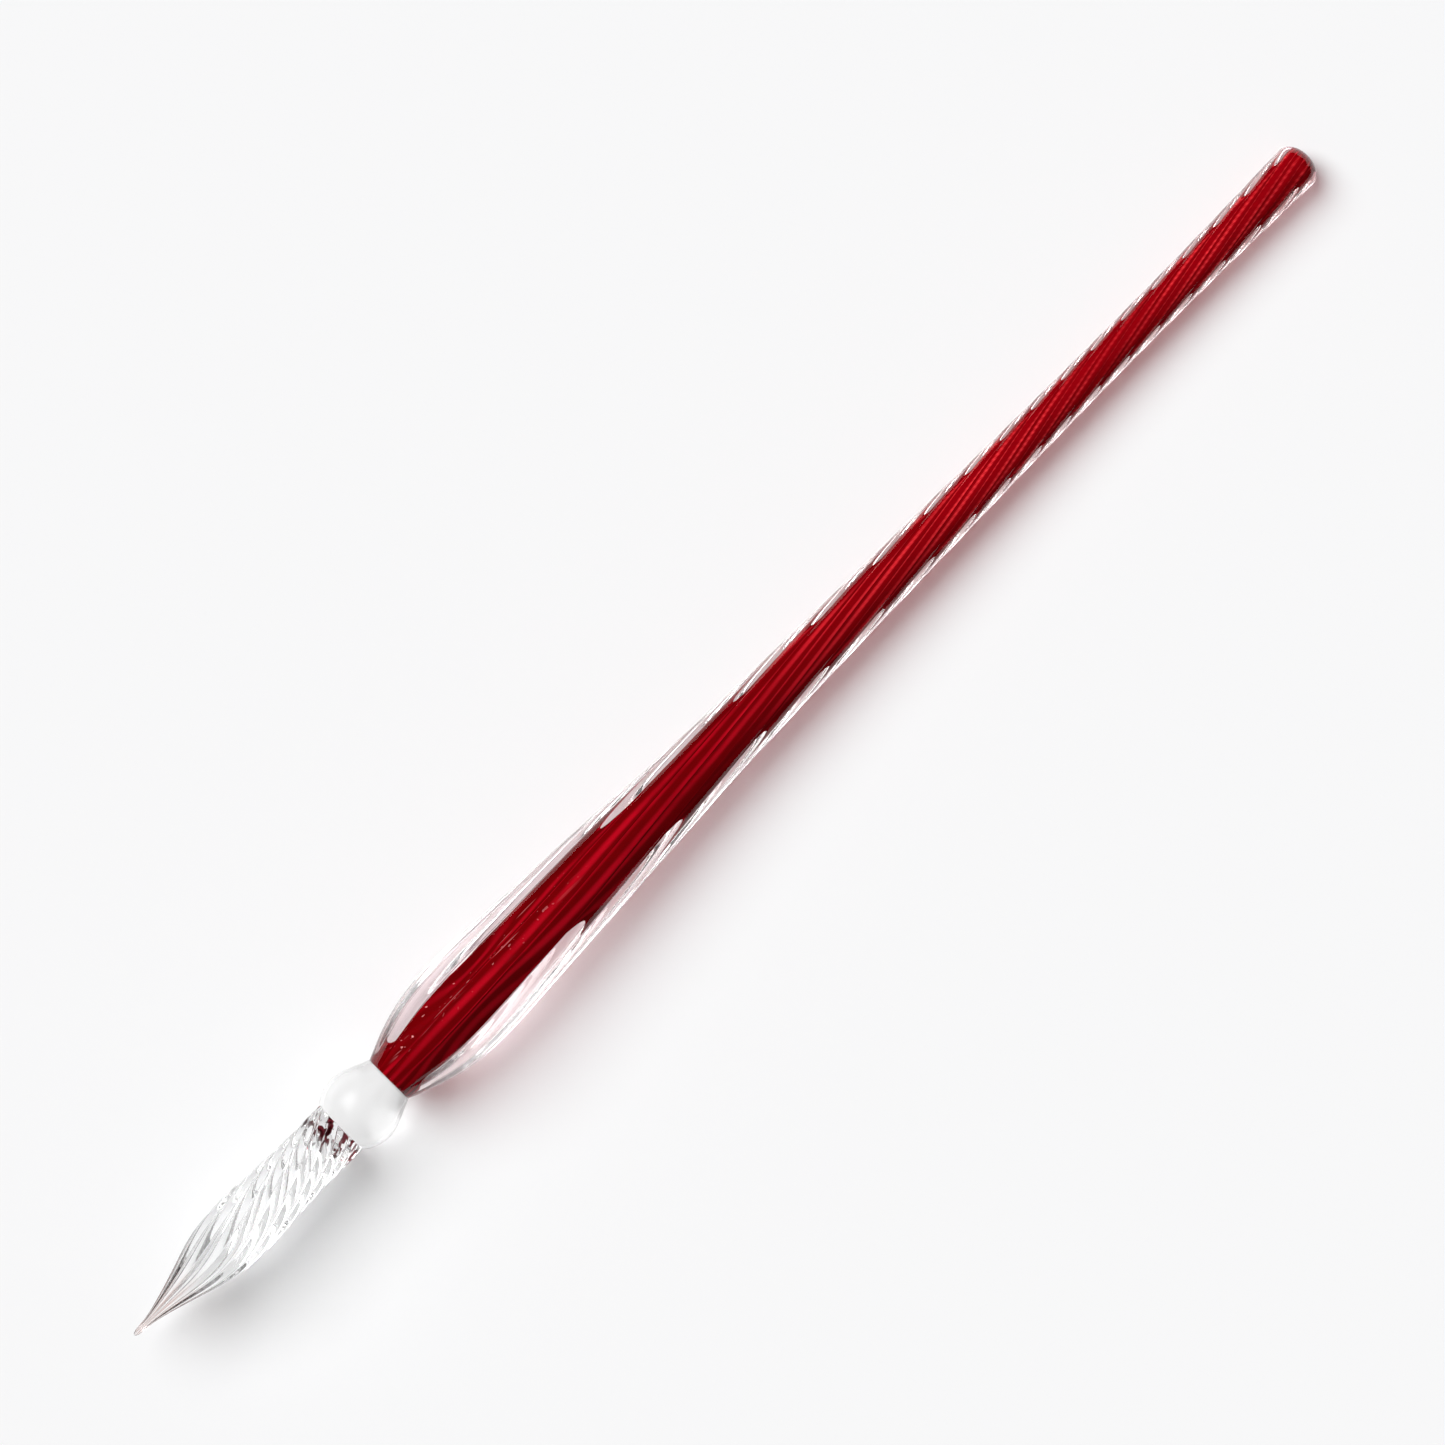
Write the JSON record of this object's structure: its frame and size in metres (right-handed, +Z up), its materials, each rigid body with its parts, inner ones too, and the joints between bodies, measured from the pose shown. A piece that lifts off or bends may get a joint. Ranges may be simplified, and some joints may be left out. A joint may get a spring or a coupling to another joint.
{
  "type": "dip pen",
  "caption": "Lampworked glass dip pen: ruby core in a clear twisted fluted handle with a bulb grip, clear ball, and a twisted fluted glass nib.",
  "frame": {"origin": "bottom centre of the bounding box, on the surface that the pen lies on", "axes": "+X along the pen from the writing tip towards the tail, +Z up, away from the surface it lies on; the pen's own axis dips about 1.4 degrees towards the tail, because it rests on its bulb and on its tail"},
  "size_m": [0.18, 0.0114, 0.0114],
  "materials": {
    "ruby_glass": "transparent ruby-red glass, fire polished",
    "casing_glass": "clear glass, fire polished, twisted flutes, a few seed bubbles",
    "ball_glass": "clear glass, fire polished",
    "nib_glass": "clear glass, fire polished flutes, point ground fine"
  },
  "bodies": {
    "root": {"ruby_core": "ruby_glass", "fluted_casing": "casing_glass", "ball": "ball_glass", "nib": "nib_glass"}
  },
  "joints": []
}
